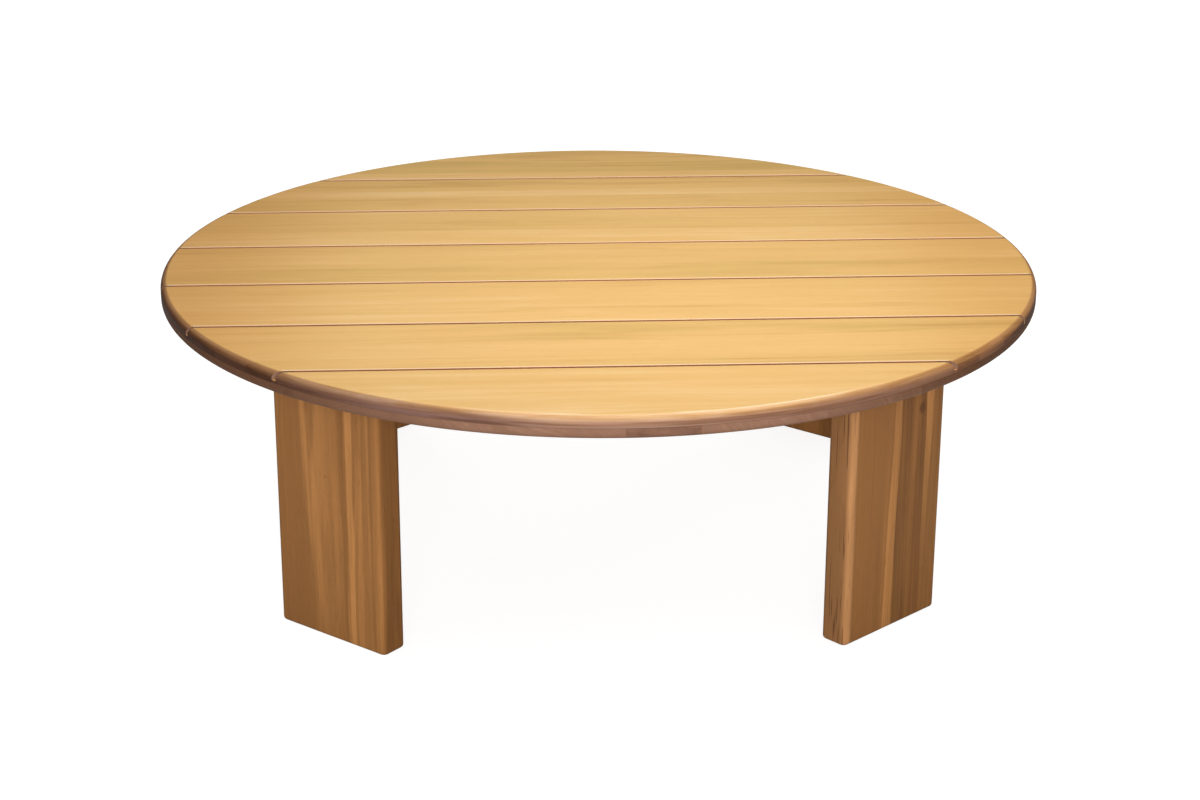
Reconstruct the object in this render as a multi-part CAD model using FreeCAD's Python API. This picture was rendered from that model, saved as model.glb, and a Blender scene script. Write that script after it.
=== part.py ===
import FreeCAD, Part
import math
import os
from FreeCAD import Placement, Rotation, Vector

os.makedirs("parts", exist_ok=True)

# A round low table. The origin is on the floor under the middle of the top, +Z is up, the boards run
# along X and the front is towards -Y. All lengths are in millimetres and all angles in degrees.

# The round top: boards side by side on one backing panel, with an open reveal between the boards
top_diameter = 1000.0
table_height = 326.0
board_count = 7
board_thickness = 12.5
panel_thickness = 12.5
board_pitch = 143.0
reveal_width = 4.0
reveal_arris = 1.2
tongue_height = 3.0
top_edge_radius = 8.0
bottom_edge_radius = 8.0

# Two battens across the boards, under the panel
batten_offset = 140.0
batten_width = 60.0
batten_thickness = 18.0
batten_length = 840.0
batten_arris = 2.0
batten_taper_length = 40.0
batten_tip_thickness = 7.0
batten_screw_inset = 32.0
batten_screw_end_inset = 8.0

# The four slab legs, on the diagonals, each face turned a little towards the ends of the boards
leg_width = 153.0
leg_thickness = 34.0
leg_edge_radius = 7.0
leg_foot_radius = 4.0
leg_side_offset = 292.5
leg_turn = 4.2
leg_seat_clearance = 0.2

# The hinge line of a leg, below the panel and behind the leg's inner face
pivot_drop = 18.0
pivot_setback = 10.0
pin_radius = 4.0
pin_clearance = 0.05
pin_head_radius = 6.0
pin_head_thickness = 2.0
pin_end_clearance = 0.2

# The steel brackets
plate_thickness = 3.0
ear_radius = 9.0
base_plate_length = 92.0
base_plate_width = 104.0
base_plate_corner = 8.0
base_ear_length = 47.0
leg_bracket_width = 64.0
leg_bracket_drop = 85.0
cam_half_width = 8.0
cam_corner_radius = 7.5
rib_height = 6.0
rib_start_drop = 6.0
rib_end_drop = 45.0

# The friction washers, one each side between a leg ear and a base ear
washer_thickness = 1.5
washer_radius = 8.0
washer_clearance = 0.25

# The leaf spring that lies on the cams and holds a leg open or folded
spring_thickness = 1.2
spring_clearance = 0.35
spring_side_clearance = 0.5
spring_tip_reach = 5.0
spring_flat_length = 29.0
spring_ramp_length = 26.0
spring_root_length = 28.0
rivet_radius = 2.0
rivet_head_radius = 3.8
rivet_head_thickness = 1.4
rivet_spread = 28.0
rivet_clearance = 0.05

# The screws, all with flat countersunk heads
bracket_screw_radius = 2.1
bracket_screw_head_radius = 4.3
bracket_screw_head_height = 2.3
base_screw_length = 17.5
base_screw_edge = 8.0
base_screw_front_inset = 12.0
base_screw_back_inset = 12.0
leg_screw_length = 24.0
leg_screw_spread = 32.0
leg_screw_top_drop = 24.0
leg_screw_spacing = 25.0
leg_screw_rows = 3
batten_screw_radius = 2.4
batten_screw_head_radius = 4.8
batten_screw_head_height = 2.6
batten_screw_length = 38.0
screw_tip_length = 4.0
screw_clearance = 0.05
slot_width = 1.1
slot_length = 5.0
slot_depth = 1.3

# How far every cutting tool runs past the face that it cuts
overrun = 5.0

# The share of an edge's length that it may lean by and still count as upright
upright_share = 0.001

# Heights that the rest follows
top_radius = top_diameter / 2
board_underside = table_height - board_thickness
panel_underside = board_underside - panel_thickness
pivot_height = panel_underside - pivot_drop
pivot_x = -leg_thickness / 2 - pivot_setback
leg_ear_outside = leg_bracket_width / 2
base_ear_inside = leg_ear_outside + 2 * washer_clearance + washer_thickness
base_ear_outside = base_ear_inside + plate_thickness

X_AXIS = Vector(1, 0, 0)
Y_AXIS = Vector(0, 1, 0)
Z_AXIS = Vector(0, 0, 1)


def box(x0, x1, y0, y1, z0, z1):
    """A block between six planes."""
    return Part.makeBox(x1 - x0, y1 - y0, z1 - z0, Vector(x0, y0, z0))


def turned(points):
    """A solid turned about Z from a closed outline of (radius, height) points."""
    corners = [Vector(radius, 0, height) for radius, height in points]
    outline = Part.makePolygon(corners + corners[:1])
    return Part.Face(outline).revolve(Vector(0, 0, 0), Z_AXIS, 360)


def side_profile(edges, y0, y1):
    """A solid with an outline drawn in the XZ plane, from y0 to y1."""
    face = Part.Face(Part.Wire(edges))
    face.translate(Vector(0, y0, 0))
    return face.extrude(Vector(0, y1 - y0, 0))


def lines(points):
    """Straight edges through points of the XZ plane, left open."""
    corners = [Vector(x, 0, z) for x, z in points]
    return [Part.LineSegment(a, b).toShape() for a, b in zip(corners, corners[1:])]


def arc_xz(centre_x, centre_z, radius, start, end):
    """An arc in the XZ plane between two angles, which may run either way round."""
    angles = (start, (start + end) / 2, end)
    spots = []
    for angle in angles:
        across = radius * math.cos(math.radians(angle))
        up = radius * math.sin(math.radians(angle))
        spots.append(Vector(centre_x + across, 0, centre_z + up))
    return Part.Arc(*spots).toShape()


def rounded_slab(x0, x1, y0, y1, z0, z1, radius):
    """A block whose four upright edges are rounded."""
    slab = box(x0, x1, y0, y1, z0, z1)
    upright = [edge for edge in slab.Edges if is_upright(edge)]
    return slab.makeFillet(radius, upright)


def is_upright(edge):
    """Whether an edge runs along Z."""
    along = edge.Vertexes[-1].Point - edge.Vertexes[0].Point
    return math.hypot(along.x, along.y) < upright_share * along.Length


def placed(shape, x, y, z, rotation=None):
    """A copy of a shape, turned and then moved."""
    copy = shape.copy()
    copy.Placement = Placement(Vector(x, y, z), rotation or Rotation())
    return copy


def cut_all(shape, tools):
    """A shape with a list of tools cut out of it."""
    return shape.cut(Part.makeCompound(tools))


def one_solid(shape):
    """The single solid of a result, with its seams between coplanar faces removed."""
    clean = shape.removeSplitter()
    return clean.Solids[0] if len(clean.Solids) == 1 else clean


# Screws


def screw(radius, head_radius, head_height, length):
    """A countersunk screw: its head's flat face at the origin, its point towards +Z."""
    body = turned([
        (0, 0),
        (head_radius, 0),
        (radius, head_height),
        (radius, length - screw_tip_length),
        (0, length),
    ])
    slot = box(-slot_length / 2, slot_length / 2, -slot_width / 2, slot_width / 2, -overrun, slot_depth)
    cross_slot = placed(slot, 0, 0, 0, Rotation(Z_AXIS, 90))
    return body.cut(slot).cut(cross_slot)


def screw_hole(radius, head_radius, head_height, length):
    """The room that a screw takes, with its clearance."""
    wall = radius + screw_clearance
    mouth = head_radius + screw_clearance
    return turned([
        (0, -overrun),
        (mouth, -overrun),
        (mouth, 0),
        (wall, head_height),
        (wall, length + screw_clearance),
        (0, length + screw_clearance),
    ])


batten_screw_sizes = (
    batten_screw_radius,
    batten_screw_head_radius,
    batten_screw_head_height,
    batten_screw_length,
)
base_screw_sizes = (
    bracket_screw_radius,
    bracket_screw_head_radius,
    bracket_screw_head_height,
    base_screw_length,
)
leg_screw_sizes = (
    bracket_screw_radius,
    bracket_screw_head_radius,
    bracket_screw_head_height,
    leg_screw_length,
)

# Where things stand


def leg_frames():
    """Each leg's name and the placement that takes the leg's own frame to its place.

    In its own frame a leg stands over the origin, with its outer face towards +X.
    """
    frames = []
    for depth_name, side_y in (("front", -1), ("back", 1)):
        for side_name, side_x in (("left", -1), ("right", 1)):
            bearing = math.degrees(math.atan2(side_y, side_x)) + leg_turn * side_x * side_y
            centre = Vector(side_x * leg_side_offset, side_y * leg_side_offset, 0)
            frames.append((depth_name + "_" + side_name, Placement(centre, Rotation(Z_AXIS, bearing))))
    return frames


def in_place(shape, frame):
    """A copy of a shape of the leg's own frame, in the table's frame."""
    copy = shape.copy()
    copy.Placement = frame.multiply(copy.Placement)
    return copy


def board_middle(index):
    """The middle of a board across the table, counted from the front."""
    return (index - (board_count - 1) / 2) * board_pitch


def batten_screw_places():
    """The (x, y) places of the screws up through both battens: two to a board, one at each end."""
    last = batten_length / 2 - batten_taper_length - batten_screw_end_inset
    rows = [-last, last]
    for index in range(board_count):
        middle = board_middle(index)
        if 0 < index < board_count - 1:
            rows.append(middle - batten_screw_inset)
            rows.append(middle + batten_screw_inset)
    return [(side * batten_offset, y) for side in (-1, 1) for y in rows]


def base_screw_places():
    """The (x, y) places, in the leg's frame, of the screws of a base bracket."""
    front = pivot_x + ear_radius - base_screw_front_inset
    back = pivot_x + ear_radius - base_plate_length + base_screw_back_inset
    across = base_plate_width / 2 - base_screw_edge
    return [(x, side * across) for x in (front, back) for side in (-1, 1)]


# The top


def upper_disc():
    """The round outline of all the boards, with the rounded upper edge and its seam at the front."""
    disc = Part.makeCylinder(top_radius, board_thickness)
    rim = [edge for edge in disc.Edges if edge.BoundBox.ZMin > board_thickness / 2]
    return placed(disc.makeFillet(top_edge_radius, rim), 0, 0, board_underside, Rotation(Z_AXIS, -90))


def board(index, disc, holes):
    """One board: a bar with eased upper edges and a low tongue under the reveal behind it, cut round."""
    low = board_middle(index) - board_pitch / 2 + reveal_width / 2
    high = board_middle(index) + board_pitch / 2 - reveal_width / 2
    if index == 0:
        low = -top_radius - overrun
    if index == board_count - 1:
        high = top_radius + overrun
    reach = top_radius + overrun
    bar = box(-reach, reach, low, high, board_underside, table_height)
    eased = [
        edge
        for edge in bar.Edges
        if edge.BoundBox.XLength > reach and edge.BoundBox.ZMin > board_underside + board_thickness / 2
    ]
    bar = bar.makeFillet(reveal_arris, eased)
    if index < board_count - 1:
        tongue_top = board_underside + tongue_height
        bar = bar.fuse(box(-reach, reach, high, high + reveal_width, board_underside, tongue_top))
    return one_solid(cut_all(bar.common(disc), holes))


def backing_panel(holes):
    """The round panel under the boards, with the rounded lower edge."""
    disc = Part.makeCylinder(top_radius, panel_thickness, Vector(0, 0, panel_underside))
    rim = [edge for edge in disc.Edges if edge.BoundBox.ZMax < panel_underside + panel_thickness / 2]
    return one_solid(cut_all(disc.makeFillet(bottom_edge_radius, rim), holes))


def batten(side, holes):
    """One batten across the boards, with eased lower edges and tapered ends."""
    middle = side * batten_offset
    half = batten_length / 2
    foot = panel_underside - batten_thickness
    bar = box(middle - batten_width / 2, middle + batten_width / 2, -half, half, foot, panel_underside)
    eased = [
        edge
        for edge in bar.Edges
        if edge.BoundBox.YLength > half and edge.BoundBox.ZMax < foot + batten_thickness / 2
    ]
    bar = bar.makeFillet(batten_arris, eased)
    tip = panel_underside - batten_tip_thickness
    for end in (-1, 1):
        corners = [
            Vector(middle - batten_width, end * half, tip),
            Vector(middle - batten_width, end * (half - batten_taper_length), foot),
            Vector(middle - batten_width, end * (half - batten_taper_length), foot - overrun),
            Vector(middle - batten_width, end * (half + overrun), foot - overrun),
            Vector(middle - batten_width, end * (half + overrun), tip),
        ]
        wedge = Part.Face(Part.makePolygon(corners + corners[:1]))
        bar = bar.cut(wedge.extrude(Vector(2 * batten_width, 0, 0)))
    return one_solid(cut_all(bar, holes))


# A leg and its bracket, in the leg's own frame


def leg_screw_places():
    """The (y, z) places of the screws of a leg bracket."""
    places = []
    for row in range(leg_screw_rows):
        height = pivot_height - leg_screw_top_drop - row * leg_screw_spacing
        places.append((-leg_screw_spread / 2, height))
        places.append((leg_screw_spread / 2, height))
    return places


def leg_screw_shapes(make):
    """Screws, or the room for them, in the leg bracket and the leg."""
    shape = make(*leg_screw_sizes)
    face = -leg_thickness / 2 - plate_thickness
    outwards = Rotation(Y_AXIS, 90)
    return [placed(shape, face, y, z, outwards) for y, z in leg_screw_places()]


def base_screw_shapes(make):
    """Screws, or the room for them, in the base bracket and the top."""
    shape = make(*base_screw_sizes)
    face = panel_underside - plate_thickness
    return [placed(shape, x, y, face) for x, y in base_screw_places()]


def slab_leg():
    """One slab leg, from the floor to just under the panel."""
    top = panel_underside - leg_seat_clearance
    half_x = leg_thickness / 2
    half_y = leg_width / 2
    slab = rounded_slab(-half_x, half_x, -half_y, half_y, 0, top, leg_edge_radius)
    foot = [edge for edge in slab.Edges if edge.BoundBox.ZMax < leg_foot_radius]
    slab = slab.makeFillet(leg_foot_radius, foot)
    return one_solid(cut_all(slab, leg_screw_shapes(screw_hole)))


def pin_bore(radius):
    """A cylinder on the hinge line, long enough to cut every ear."""
    half = base_ear_outside + overrun
    return Part.makeCylinder(radius, 2 * half, Vector(pivot_x, -half, pivot_height), Y_AXIS)


def rivet_places():
    """The (x, y) places of the rivets of the leaf spring."""
    x = pivot_x + spring_tip_reach - spring_flat_length - spring_ramp_length - spring_root_length / 2
    return [(x, side * rivet_spread / 2) for side in (-1, 1)]


def base_ear(y0, y1):
    """One ear of the base bracket: round about the pin, with a long slope to the plate."""
    plate_bottom = panel_underside - plate_thickness
    rise = plate_bottom - pivot_height
    toe = math.hypot(base_ear_length, rise)
    lean = math.degrees(math.atan2(rise, -base_ear_length))
    touch = lean + math.degrees(math.acos(ear_radius / toe)) - 360
    touch_x = pivot_x + ear_radius * math.cos(math.radians(touch))
    touch_z = pivot_height + ear_radius * math.sin(math.radians(touch))
    plate_inside = plate_bottom + plate_thickness / 2
    outline = [arc_xz(pivot_x, pivot_height, ear_radius, 0, touch)]
    outline += lines([
        (touch_x, touch_z),
        (pivot_x - base_ear_length, plate_bottom),
        (pivot_x - base_ear_length, plate_inside),
        (pivot_x + ear_radius, plate_inside),
        (pivot_x + ear_radius, pivot_height),
    ])
    return side_profile(outline, y0, y1)


def base_bracket():
    """The bracket on the top: a plate with two ears, welded into one piece."""
    front = pivot_x + ear_radius
    half = base_plate_width / 2
    bottom = panel_underside - plate_thickness
    plate = rounded_slab(front - base_plate_length, front, -half, half, bottom, panel_underside, base_plate_corner)
    ears = [
        base_ear(-base_ear_outside, -base_ear_inside),
        base_ear(base_ear_inside, base_ear_outside),
    ]
    bracket = plate.multiFuse(ears)
    tools = base_screw_shapes(screw_hole)
    tools.append(pin_bore(pin_radius + pin_clearance))
    for x, y in rivet_places():
        low = Vector(x, y, bottom - overrun)
        tools.append(Part.makeCylinder(rivet_radius + rivet_clearance, plate_thickness + 2 * overrun, low))
    return one_solid(cut_all(bracket, tools))


def leg_ear(y0, y1):
    """One ear of the leg bracket: a cam with two flats about the pin, then a rib down the leg."""
    web = pivot_x + pivot_setback - plate_thickness / 2
    web_inside = pivot_x + pivot_setback - plate_thickness
    inner = pivot_x - cam_half_width
    crown = pivot_height + cam_half_width
    corner_x = inner + cam_corner_radius
    corner_z = crown - cam_corner_radius
    outline = lines([(web, crown), (corner_x, crown)])
    outline.append(arc_xz(corner_x, corner_z, cam_corner_radius, 90, 180))
    outline += lines([
        (inner, corner_z),
        (inner, pivot_height - rib_start_drop),
        (web_inside - rib_height, pivot_height - rib_end_drop),
        (web_inside - rib_height, pivot_height - leg_bracket_drop),
        (web, pivot_height - leg_bracket_drop),
        (web, crown),
    ])
    return side_profile(outline, y0, y1)


def leg_bracket():
    """The bracket on the leg: a channel whose two flanges carry the cams."""
    face = pivot_x + pivot_setback
    low = pivot_height - leg_bracket_drop
    crown = pivot_height + cam_half_width
    web = box(face - plate_thickness, face, -leg_ear_outside, leg_ear_outside, low, crown)
    ears = [
        leg_ear(-leg_ear_outside, plate_thickness - leg_ear_outside),
        leg_ear(leg_ear_outside - plate_thickness, leg_ear_outside),
    ]
    bracket = web.multiFuse(ears)
    tools = leg_screw_shapes(screw_hole)
    tools.append(pin_bore(pin_radius + pin_clearance))
    return one_solid(cut_all(bracket, tools))


def hinge_pin():
    """The pin through all four ears, with a head at each end."""
    head = base_ear_outside + pin_end_clearance
    tip = head + pin_head_thickness
    pin = turned([
        (0, -tip),
        (pin_head_radius, -tip),
        (pin_head_radius, -head),
        (pin_radius, -head),
        (pin_radius, head),
        (pin_head_radius, head),
        (pin_head_radius, tip),
        (0, tip),
    ])
    return placed(pin, pivot_x, 0, pivot_height, Rotation(X_AXIS, -90))


def pivot_washers():
    """The two friction washers on the pin."""
    washers = []
    for side in (-1, 1):
        near = side * (leg_ear_outside + washer_clearance)
        start = Vector(pivot_x, near, pivot_height)
        disc = Part.makeCylinder(washer_radius, washer_thickness, start, Y_AXIS * side)
        washers.append(disc.cut(pin_bore(pin_radius + pin_clearance)))
    return Part.makeCompound(washers)


def detent_spring():
    """The leaf spring: flat over the cams, then up a ramp to its root under the plate."""
    half = leg_ear_outside - spring_side_clearance
    low = pivot_height + cam_half_width + spring_clearance
    root = panel_underside - plate_thickness - spring_thickness
    tip = pivot_x + spring_tip_reach
    ramp = tip - spring_flat_length
    heel = ramp - spring_ramp_length
    tail = heel - spring_root_length
    outline = lines([
        (tip, low),
        (ramp, low),
        (heel, root),
        (tail, root),
        (tail, root + spring_thickness),
        (heel, root + spring_thickness),
        (ramp, low + spring_thickness),
        (tip, low + spring_thickness),
        (tip, low),
    ])
    leaf = side_profile(outline, -half, half)
    tools = []
    for x, y in rivet_places():
        start = Vector(x, y, root - overrun)
        tools.append(Part.makeCylinder(rivet_radius + rivet_clearance, spring_thickness + 2 * overrun, start))
    return one_solid(cut_all(leaf, tools))


def spring_rivets():
    """The rivets that hold the leaf spring to the plate."""
    face = panel_underside - plate_thickness - spring_thickness
    rivet = turned([
        (0, -rivet_head_thickness),
        (rivet_head_radius - rivet_head_thickness / 2, -rivet_head_thickness),
        (rivet_head_radius, -rivet_head_thickness / 2),
        (rivet_head_radius, 0),
        (rivet_radius, 0),
        (rivet_radius, plate_thickness + spring_thickness),
        (0, plate_thickness + spring_thickness),
    ])
    return Part.makeCompound([placed(rivet, x, y, face) for x, y in rivet_places()])


# The whole table


def batten_screw_shapes(make):
    """Screws, or the room for them, up through the battens."""
    shape = make(*batten_screw_sizes)
    foot = panel_underside - batten_thickness
    return [placed(shape, x, y, foot) for x, y in batten_screw_places()]


def table():
    """Every node's name and shape."""
    frames = leg_frames()
    batten_holes = batten_screw_shapes(screw_hole)
    bracket_holes = [in_place(hole, frame) for _, frame in frames for hole in base_screw_shapes(screw_hole)]
    holes = batten_holes + bracket_holes
    disc = upper_disc()
    nodes = {}
    for index in range(board_count):
        nodes["board_" + str(index + 1)] = board(index, disc, holes)
    nodes["backing_panel"] = backing_panel(holes)
    nodes["left_batten"] = batten(-1, batten_holes)
    nodes["right_batten"] = batten(1, batten_holes)
    nodes["batten_screws"] = Part.makeCompound(batten_screw_shapes(screw))
    hardware = {
        "leg": slab_leg(),
        "base_bracket": base_bracket(),
        "leg_bracket": leg_bracket(),
        "hinge_pin": hinge_pin(),
        "pivot_washers": pivot_washers(),
        "detent_spring": detent_spring(),
        "spring_rivets": spring_rivets(),
        "base_screws": Part.makeCompound(base_screw_shapes(screw)),
        "leg_screws": Part.makeCompound(leg_screw_shapes(screw)),
    }
    for corner, frame in frames:
        for piece, shape in hardware.items():
            nodes[corner + "_" + piece] = in_place(shape, frame)
    return nodes


for name, shape in table().items():
    shape.exportStep("parts/" + name + ".step")
    size = shape.BoundBox
    print(name, len(shape.Solids), "solids, valid", shape.isValid(), "volume", round(shape.Volume, 1),
          "from", round(size.XMin, 1), round(size.YMin, 1), round(size.ZMin, 1),
          "to", round(size.XMax, 1), round(size.YMax, 1), round(size.ZMax, 1))
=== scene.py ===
# %% [markdown]
# A round low table of honey-coloured wood: seven boards on a backing panel, two battens and four slab
# legs that fold inward on steel brackets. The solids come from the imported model, already in their
# place and in metres, so this lesson only has to give them their finish, put in the small repeated
# parts and light them. Loading comes first, because everything else is measured from these solids.

# %% Load the solids
from functools import reduce
from math import cos, pi, radians, sin
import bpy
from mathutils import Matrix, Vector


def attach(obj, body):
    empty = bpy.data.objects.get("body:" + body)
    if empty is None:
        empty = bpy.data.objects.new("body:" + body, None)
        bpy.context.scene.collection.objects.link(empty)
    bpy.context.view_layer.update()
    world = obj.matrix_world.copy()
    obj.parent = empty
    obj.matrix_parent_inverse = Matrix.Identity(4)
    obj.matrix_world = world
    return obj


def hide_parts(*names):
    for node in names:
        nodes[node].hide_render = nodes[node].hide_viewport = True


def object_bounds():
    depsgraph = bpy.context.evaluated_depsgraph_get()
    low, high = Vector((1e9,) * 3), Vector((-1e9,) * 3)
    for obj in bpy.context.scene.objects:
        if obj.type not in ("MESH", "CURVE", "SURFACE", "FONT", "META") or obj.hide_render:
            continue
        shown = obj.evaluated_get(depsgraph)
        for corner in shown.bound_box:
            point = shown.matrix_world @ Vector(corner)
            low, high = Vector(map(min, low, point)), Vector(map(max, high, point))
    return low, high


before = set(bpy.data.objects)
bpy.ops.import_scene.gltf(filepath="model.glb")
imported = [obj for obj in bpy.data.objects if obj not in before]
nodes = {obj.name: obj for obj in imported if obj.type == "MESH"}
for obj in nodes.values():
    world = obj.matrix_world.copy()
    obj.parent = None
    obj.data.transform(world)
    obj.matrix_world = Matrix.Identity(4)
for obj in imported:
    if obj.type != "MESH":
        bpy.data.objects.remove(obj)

from types import SimpleNamespace

import bmesh
import bpy
from mathutils import Matrix, Vector

cad_low, cad_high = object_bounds()
corners = ("front_left", "front_right", "back_left", "back_right")
print("Loaded", len(nodes), "solids, from", tuple(cad_low), "to", tuple(cad_high))

# %% [markdown]
# The camera stands a little left of the middle and looks down on the boards. Its bearing, height and
# distance are worked out from the perspective of the round rim and the straight reveals, and stay as
# plain numbers here. A long lens keeps the near rim from bulging.

# %% Camera
camera_bearing = radians(-3.105)
camera_height_angle = radians(17.489)
camera_distance = 2.867
aim_left = radians(-0.042)
aim_down = radians(-3.212)
camera_roll = radians(0.185)

camera_data = bpy.data.cameras.new("camera")
camera_data.sensor_width = 36
camera_data.lens = 74.29
camera = bpy.data.objects.new("camera", camera_data)
bpy.context.scene.collection.objects.link(camera)
bpy.context.scene.camera = camera
top_middle = Vector((0, 0, cad_high.z))
towards_camera = Vector((
    sin(camera_bearing) * cos(camera_height_angle),
    -cos(camera_bearing) * cos(camera_height_angle),
    sin(camera_height_angle),
))
camera.matrix_world = (
    Matrix.Translation(top_middle + towards_camera * camera_distance)
    @ Matrix.Rotation(camera_bearing, 4, "Z")
    @ Matrix.Rotation(pi / 2 - camera_height_angle, 4, "X")
    @ Matrix.Rotation(aim_left, 4, "Y")
    @ Matrix.Rotation(aim_down, 4, "X")
    @ Matrix.Rotation(camera_roll, 4, "Z")
)
print("Camera at", tuple(round(v, 3) for v in camera.matrix_world.translation))

# %% [markdown]
# Every finish and every small part is a tree of nodes. A few helpers keep those trees readable. One adds
# a node, one fills or links a node's inputs, and the short ones do a single step of reckoning in
# whichever tree their inputs belong to. The last two open and place a group with named inputs.

# %% Helpers for node trees
socket_kinds = {
    "number": "Float", "whole": "Int", "colour": "Color", "vector": "Vector", "material": "Material",
    "shape": "Geometry",
}


def feed(made, inputs):
    """Fills a node's inputs. A value may be a number, a colour, or another node's output to link."""
    for name, value in inputs.items():
        socket = made.inputs[name]
        if isinstance(value, bpy.types.NodeSocket):
            made.id_data.links.new(value, socket)
        else:
            socket.default_value = (*value, 1.0) if socket.type == "RGBA" else value


def node(tree, kind, inputs=None, **settings):
    """Adds a node with its settings and its inputs."""
    made = tree.nodes.new(kind)
    for name, value in settings.items():
        setattr(made, name, value)
    feed(made, inputs or {})
    return made


def tree_of(*values):
    """The tree of the first output among some values."""
    return next(value.id_data for value in values if isinstance(value, bpy.types.NodeSocket))


def maths(operation, *values):
    """One step of arithmetic on numbers or outputs."""
    return node(tree_of(*values), "ShaderNodeMath", dict(enumerate(values)), operation=operation).outputs[0]


def times(*values):
    return reduce(lambda so_far, value: maths("MULTIPLY", so_far, value), values)


def plus(*values):
    return reduce(lambda so_far, value: maths("ADD", so_far, value), values)


def minus(first, second):
    return maths("SUBTRACT", first, second)


def eased(value, start, end, low=0.0, high=1.0):
    """A value that runs smoothly from low to high while another runs from start to end."""
    step = node(tree_of(value), "ShaderNodeMapRange", interpolation_type="SMOOTHSTEP", inputs={
        "Value": value, "From Min": start, "From Max": end, "To Min": low, "To Max": high,
    })
    return step.outputs["Result"]


def split(vector):
    """The parts X, Y and Z of a vector."""
    return node(tree_of(vector), "ShaderNodeSeparateXYZ", {0: vector}).outputs


def vector_of(x=0.0, y=0.0, z=0.0):
    return node(tree_of(x, y, z), "ShaderNodeCombineXYZ", {0: x, 1: y, 2: z}).outputs[0]


def vector_maths(operation, *vectors):
    """One step of arithmetic on vectors: the node's outputs."""
    inputs = dict(enumerate(vectors))
    return node(tree_of(*vectors), "ShaderNodeVectorMath", inputs, operation=operation).outputs


def noise(place, scale=1.0, detail=2.0, roughness=0.5, distortion=0.0, **settings):
    """Cloudy noise around one half."""
    return node(tree_of(place), "ShaderNodeTexNoise", {
        "Vector": place, "Scale": scale, "Detail": detail, "Roughness": roughness, "Distortion": distortion,
    }, **settings).outputs[0]


def mixed(share, first, second, how="MIX"):
    """One colour over another, by a share that may change over the surface."""
    return node(tree_of(share), "ShaderNodeMix", {
        0: share, 6: first, 7: second,
    }, data_type="RGBA", blend_type=how).outputs[2]


def painted(base, share, *shade):
    """Lays a plain colour over another, by a share."""
    return mixed(share, base, shade)


def multiplied(base, share, *stain):
    """Multiplies a colour by a plain one, by a share."""
    return mixed(share, base, stain, "MULTIPLY")


def bumped(height, strength, distance):
    """The normal of a skin that a height makes uneven."""
    return node(tree_of(height), "ShaderNodeBump", {
        "Height": height, "Strength": strength, "Distance": distance,
    }).outputs["Normal"]


def new_group(name, inputs, outputs, kind="ShaderNodeTree"):
    """A group with its sockets: the tree, its input node's outputs and its output node."""
    group = bpy.data.node_groups.new(name, kind)
    for way, sockets in (("INPUT", inputs), ("OUTPUT", outputs)):
        for label, socket_kind, *value in sockets:
            socket = group.interface.new_socket(
                label, in_out=way, socket_type="NodeSocket" + socket_kinds[socket_kind],
            )
            if value:
                socket.default_value = value[0]
    return group, node(group, "NodeGroupInput").outputs, node(group, "NodeGroupOutput")


def use_group(tree, group, inputs):
    """Places a group in a tree and gives its outputs."""
    return node(tree, "ShaderNodeGroup", inputs, node_tree=group).outputs


print("Helpers ready")

# %% [markdown]
# The top is a round, so any flat facet along its rim would catch the eye. It is turned here as on a
# lathe: a profile of radius and height is carried round in fine steps. A turned disc is convex, so one
# board is what stays between flat cuts through it, and three slightly tilted cuts ease each upper edge
# beside a reveal. Normals weighted by face area keep the flats flat and the small curves soft.

# %% Turning and cutting the round top
turn_steps = 720


def quarter_round(centre_radius, centre_height, radius, start, end, steps=8):
    """Points of an arc, as (radius, height), between two angles in degrees."""
    angles = [radians(start + (end - start) * step / steps) for step in range(steps + 1)]
    return [(centre_radius + radius * cos(a), centre_height + radius * sin(a)) for a in angles]


def turned_disc(profile):
    """A closed disc from a profile of (radius, height) points, from the lower face to the upper one."""
    shape = bmesh.new()
    angles = [2 * pi * step / turn_steps for step in range(turn_steps)]
    rings = [
        [shape.verts.new((radius * cos(angle), radius * sin(angle), height)) for angle in angles]
        for radius, height in profile
    ]
    for lower, upper in zip(rings, rings[1:]):
        for step in range(turn_steps):
            following = (step + 1) % turn_steps
            shape.faces.new((lower[step], lower[following], upper[following], upper[step]))
    shape.faces.new(list(reversed(rings[0])))
    shape.faces.new(rings[-1])
    bmesh.ops.recalc_face_normals(shape, faces=shape.faces)
    return shape


def cut_off(shape, point, outwards):
    """Takes away all that lies on the outer side of a plane, and closes the cut."""
    geometry = list(shape.verts) + list(shape.edges) + list(shape.faces)
    cut = bmesh.ops.bisect_plane(
        shape, geom=geometry, dist=0.000001, plane_co=point, plane_no=outwards, clear_outer=True,
    )
    edges = [item for item in cut["geom_cut"] if isinstance(item, bmesh.types.BMEdge)]
    bmesh.ops.contextual_create(shape, geom=edges)


def soft_piece(name, shape, material, sharp=35):
    """A piece from a bmesh, smooth but for its sharp edges, with normals weighted by face area."""
    for face in shape.faces:
        face.smooth = True
    for edge in shape.edges:
        edge.smooth = len(edge.link_faces) == 2 and edge.calc_face_angle() < radians(sharp)
    mesh = bpy.data.meshes.new(name)
    shape.to_mesh(mesh)
    shape.free()
    mesh.materials.append(material)
    piece = bpy.data.objects.new(name, mesh)
    bpy.context.scene.collection.objects.link(piece)
    weighted = piece.modifiers.new("flats stay flat", "WEIGHTED_NORMAL")
    weighted.keep_sharp = True
    weighted.weight = 80
    return baked(piece)


def baked(piece):
    """The piece with its modifiers worked into a plain mesh."""
    evaluated = piece.evaluated_get(bpy.context.evaluated_depsgraph_get())
    plain = bpy.data.meshes.new_from_object(evaluated)
    piece.modifiers.clear()
    piece.data = plain
    return piece


print("Lathe of", turn_steps, "steps ready")

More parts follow.
